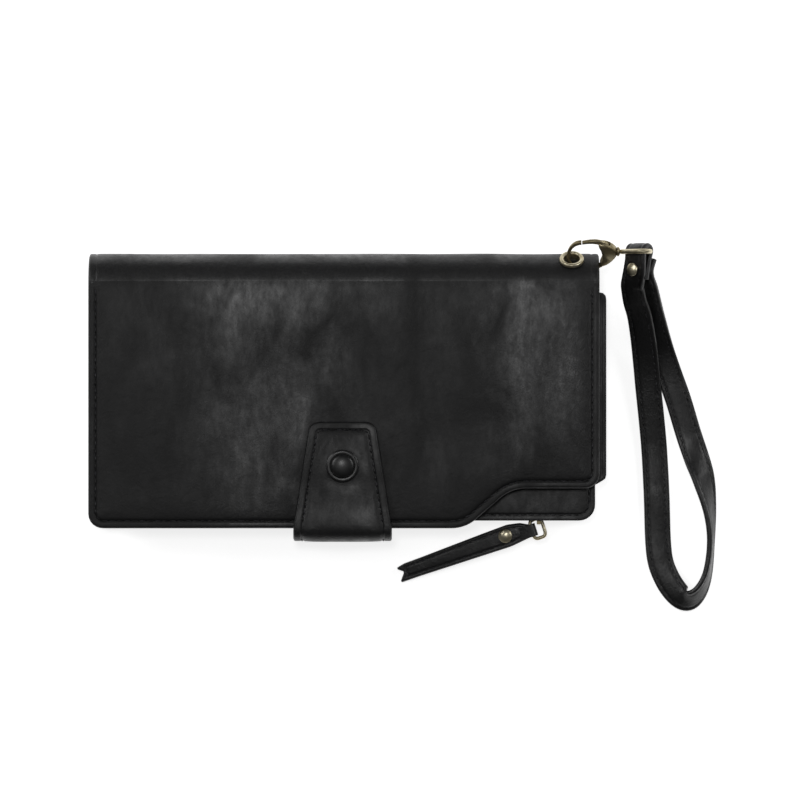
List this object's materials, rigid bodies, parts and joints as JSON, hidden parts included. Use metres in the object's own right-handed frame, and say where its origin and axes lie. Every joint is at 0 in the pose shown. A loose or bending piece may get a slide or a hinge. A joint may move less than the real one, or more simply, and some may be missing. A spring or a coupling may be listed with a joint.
{
  "type": "clutch wallet",
  "caption": "Long bifold clutch wallet in black leather with a zipped pocket, snap closure tab, card leaf, and a clip-on wrist strap with a lobster clasp.",
  "frame": {"origin": "on the outer face of the back cover, midway along it and near its middle; the wallet lies on that face", "axes": "+X along the wallet towards the wrist strap, +Y towards the rounded spine, +Z out of the front cover"},
  "size_m": [0.2421, 0.1439, 0.0297],
  "materials": {
    "leather": "black waxed leather, semi-gloss, wrinkled grain",
    "lining": "black twill lining",
    "board": "grey stiffener board",
    "brass": "antique brass plating, worn",
    "zip_tape": "black woven tape",
    "window": "clear soft film",
    "snap_cap": "gloss black enamel"
  },
  "bodies": {
    "wallet_body": {"back_lining": "lining", "back_outer_leather": "leather", "back_stiffener_board": "board", "closure_tab_fold": "leather", "eyelet": "brass", "eyelet_washer": "brass", "gusset_left": "lining", "gusset_right": "lining", "pocket_fold": "lining", "spine_leather": "leather", "spine_lining": "lining", "zip_pocket_back": "leather", "zip_pocket_front": "leather", "zip_stop_left": "brass", "zip_stop_right": "brass", "zip_tape_back": "zip_tape", "zip_tape_front": "zip_tape", "zip_teeth_back": "brass", "zip_teeth_front": "brass"},
    "front_cover": {"front_card_pocket_1": "leather", "front_card_pocket_2": "leather", "front_card_pocket_3": "leather", "front_card_pocket_4": "leather", "front_lining": "lining", "front_outer_leather": "leather", "front_stiffener_board": "board", "snap_stud": "brass", "snap_stud_post": "brass"},
    "card_leaf": {"card_leaf_panel": "leather", "card_leaf_pocket_1": "leather", "card_leaf_pocket_2": "leather", "card_leaf_pocket_3": "leather", "photo_window": "window", "photo_window_frame": "leather"},
    "closure_tab": {"closure_tab_leather": "leather", "closure_tab_lining": "lining", "snap_cap": "snap_cap", "snap_socket": "brass"},
    "zip_slider": {"zip_slider_body": "brass", "zip_slider_bridge": "brass"},
    "zip_ring": {"zip_pull_ring": "brass"},
    "zip_pull": {"zip_pull_fold": "leather", "zip_pull_leather": "leather", "zip_pull_rivet": "brass"},
    "clasp": {"clasp_hook": "brass", "clasp_body": "brass", "clasp_gate_pin": "brass", "clasp_gate_spring": "brass"},
    "clasp_gate": {"clasp_gate": "brass"},
    "swivel": {"swivel_eye": "brass", "swivel_post": "brass"},
    "wrist_strap": {"wrist_strap": "leather", "strap_rivet_cap": "brass", "strap_rivet_back": "brass"}
  },
  "joints": [
    {"name": "cover_open", "type": "hinge", "parent": "wallet_body", "child": "front_cover", "pos_m": [0, 0.041, 0.023], "axis": [-1, 0, 0], "range_deg": [0, 165]},
    {"name": "leaf_turn", "type": "hinge", "parent": "front_cover", "child": "card_leaf", "pos_m": [0, 0.0384, 0.0162], "axis": [1, 0, 0], "range_deg": [0, 20]},
    {"name": "tab_open", "type": "hinge", "parent": "wallet_body", "child": "closure_tab", "pos_m": [0, -0.0545, 0.0259], "axis": [1, 0, 0], "range_deg": [0, 170], "deforming": ["closure_tab_fold"]},
    {"name": "zip_slide", "type": "slide", "parent": "wallet_body", "child": "zip_slider", "axis": [-1, 0, 0], "range_m": [0, 0.16]},
    {"name": "zip_ring_swing", "type": "hinge", "parent": "zip_slider", "child": "zip_ring", "pos_m": [0.075, -0.0498, 0.011], "axis": [-1, 0, 0], "range_deg": [0, 15]},
    {"name": "zip_pull_swing", "type": "hinge", "parent": "zip_ring", "child": "zip_pull", "pos_m": [0.07272, -0.05405, 0.011], "axis": [-0.3141, 0.9494, 0], "range_deg": [0, 45]},
    {"name": "clasp_swing", "type": "hinge", "parent": "wallet_body", "child": "clasp", "pos_m": [0.0879, 0.04893, 0.01815], "axis": [-1, 0, 0], "range_deg": [0, 12]},
    {"name": "gate_open", "type": "hinge", "parent": "clasp", "child": "clasp_gate", "pos_m": [0.1006, 0.05548, 0.02365], "axis": [0, -0.6428, 0.766], "range_deg": [0, 22], "stiffness_Nm_per_rad": 0.002},
    {"name": "swivel_turn", "type": "hinge", "parent": "clasp", "child": "swivel", "pos_m": [0.106, 0.0531, 0.02166], "axis": [-1, 0, 0], "continuous": true},
    {"name": "strap_swing", "type": "hinge", "parent": "swivel", "child": "wrist_strap", "pos_m": [0.1138, 0.0531, 0.0206], "axis": [-0.7431, 0, -0.6691], "range_deg": [0, 12]}
  ],
  "couplings": [
    {"joint": "leaf_turn", "follows": "cover_open", "ratio": 0.12}
  ]
}
